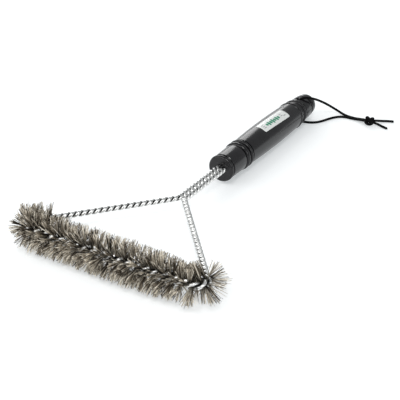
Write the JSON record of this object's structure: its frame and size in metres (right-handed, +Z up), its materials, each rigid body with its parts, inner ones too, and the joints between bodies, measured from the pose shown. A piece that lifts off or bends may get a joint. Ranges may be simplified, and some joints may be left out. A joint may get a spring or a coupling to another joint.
{
  "type": "grill cleaning brush",
  "caption": "Three-sided grill cleaning brush: a triangle of left-hand twisted steel wire with a round wire-bristle head on its front side, a black turned handle and a hanging cord.",
  "frame": {"origin": "on the table, under the centre of the brush's box measured without the cord", "axes": "+X along the bristle head, +Y along the handle from the bristles to the end knob, +Z up; the brush lies on its bristles and on the handle's rear ring, so the handle falls 0.6 degrees towards the knob"},
  "size_m": [0.242, 0.478, 0.042],
  "materials": {
    "handle": "black, satin gloss, turned rings",
    "bond": "cured resin",
    "label": "white gloss sticker with a plain green and grey mark",
    "wire": "bright drawn wire",
    "bristles": "fine steel wire bristles, brownish grey",
    "cord": "black braided cord"
  },
  "bodies": {
    "root": {"handle": "handle", "socket_bond": "bond", "label": "label", "wire_1": "wire", "wire_2": "wire", "head_bristles": "bristles", "left_corner_bristles": "bristles", "right_corner_bristles": "bristles", "left_arm_bristles": "bristles", "right_arm_bristles": "bristles", "cord_upper": "cord", "cord_lower": "cord", "cord_knot": "cord", "cord_tail_1": "cord", "cord_tail_2": "cord"}
  },
  "joints": []
}
